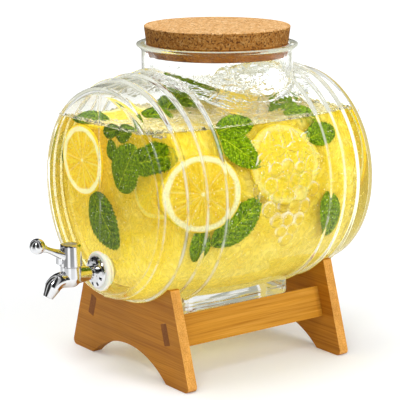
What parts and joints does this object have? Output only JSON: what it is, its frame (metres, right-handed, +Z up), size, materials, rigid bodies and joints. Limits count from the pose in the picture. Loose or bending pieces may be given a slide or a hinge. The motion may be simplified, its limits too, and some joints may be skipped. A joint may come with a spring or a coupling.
{
  "type": "glass barrel drink dispenser",
  "caption": "Moulded glass barrel lying in a bamboo cradle stand, with a cork lid in its neck and a chromed tap with a turning ball lever in its front end.",
  "frame": {"origin": "on the floor under the middle of the whole outline, so level with the stand's feet and 32.85 mm in front of the barrel's middle", "axes": "+Z up, the barrel's axis along Y, the tap at the -Y end, +X to the right seen from the tap's end"},
  "size_m": [0.194, 0.2847, 0.278],
  "materials": {
    "clear_glass": "clear moulded glass, glossy, slightly green at its thick edges",
    "cork": "pressed cork, matt, warm tan with pale and dark specks",
    "bamboo": "laminated bamboo, satin clear coat, straight grain",
    "chromed_metal": "bright chrome plating",
    "plain_steel": "turned stainless steel",
    "silicone": "milky translucent silicone",
    "seal_plastic": "white low-friction plastic",
    "black_rubber": "matt black rubber"
  },
  "bodies": {
    "stand": {"stand_front_panel": "bamboo", "stand_back_panel": "bamboo", "stand_left_rail": "bamboo", "stand_right_rail": "bamboo"},
    "barrel": {"glass_barrel": "clear_glass", "tap_body": "chromed_metal", "tap_flange": "chromed_metal", "outer_washer": "silicone", "inner_washer": "silicone", "nut_washer": "plain_steel", "lock_nut": "plain_steel", "valve_seal": "seal_plastic", "bonnet_ring": "plain_steel"},
    "lid": {"cork_lid": "cork"},
    "handle": {"tap_handle": "chromed_metal", "lever_ball": "chromed_metal", "handle_screw": "plain_steel", "handle_cap": "chromed_metal", "valve_plug": "plain_steel", "stem_o_ring": "black_rubber"}
  },
  "joints": [
    {"name": "barrel_lift", "type": "slide", "parent": "stand", "child": "barrel", "axis": [0, 0, 1], "range_m": [0, 0.06]},
    {"name": "lid_lift", "type": "slide", "parent": "barrel", "child": "lid", "axis": [0, 0, 1], "range_m": [0, 0.04]},
    {"name": "lever_turn", "type": "hinge", "parent": "barrel", "child": "handle", "pos_m": [0, -0.10555, 0.0962], "axis": [0, 0, 1], "range_deg": [0, 90]}
  ]
}
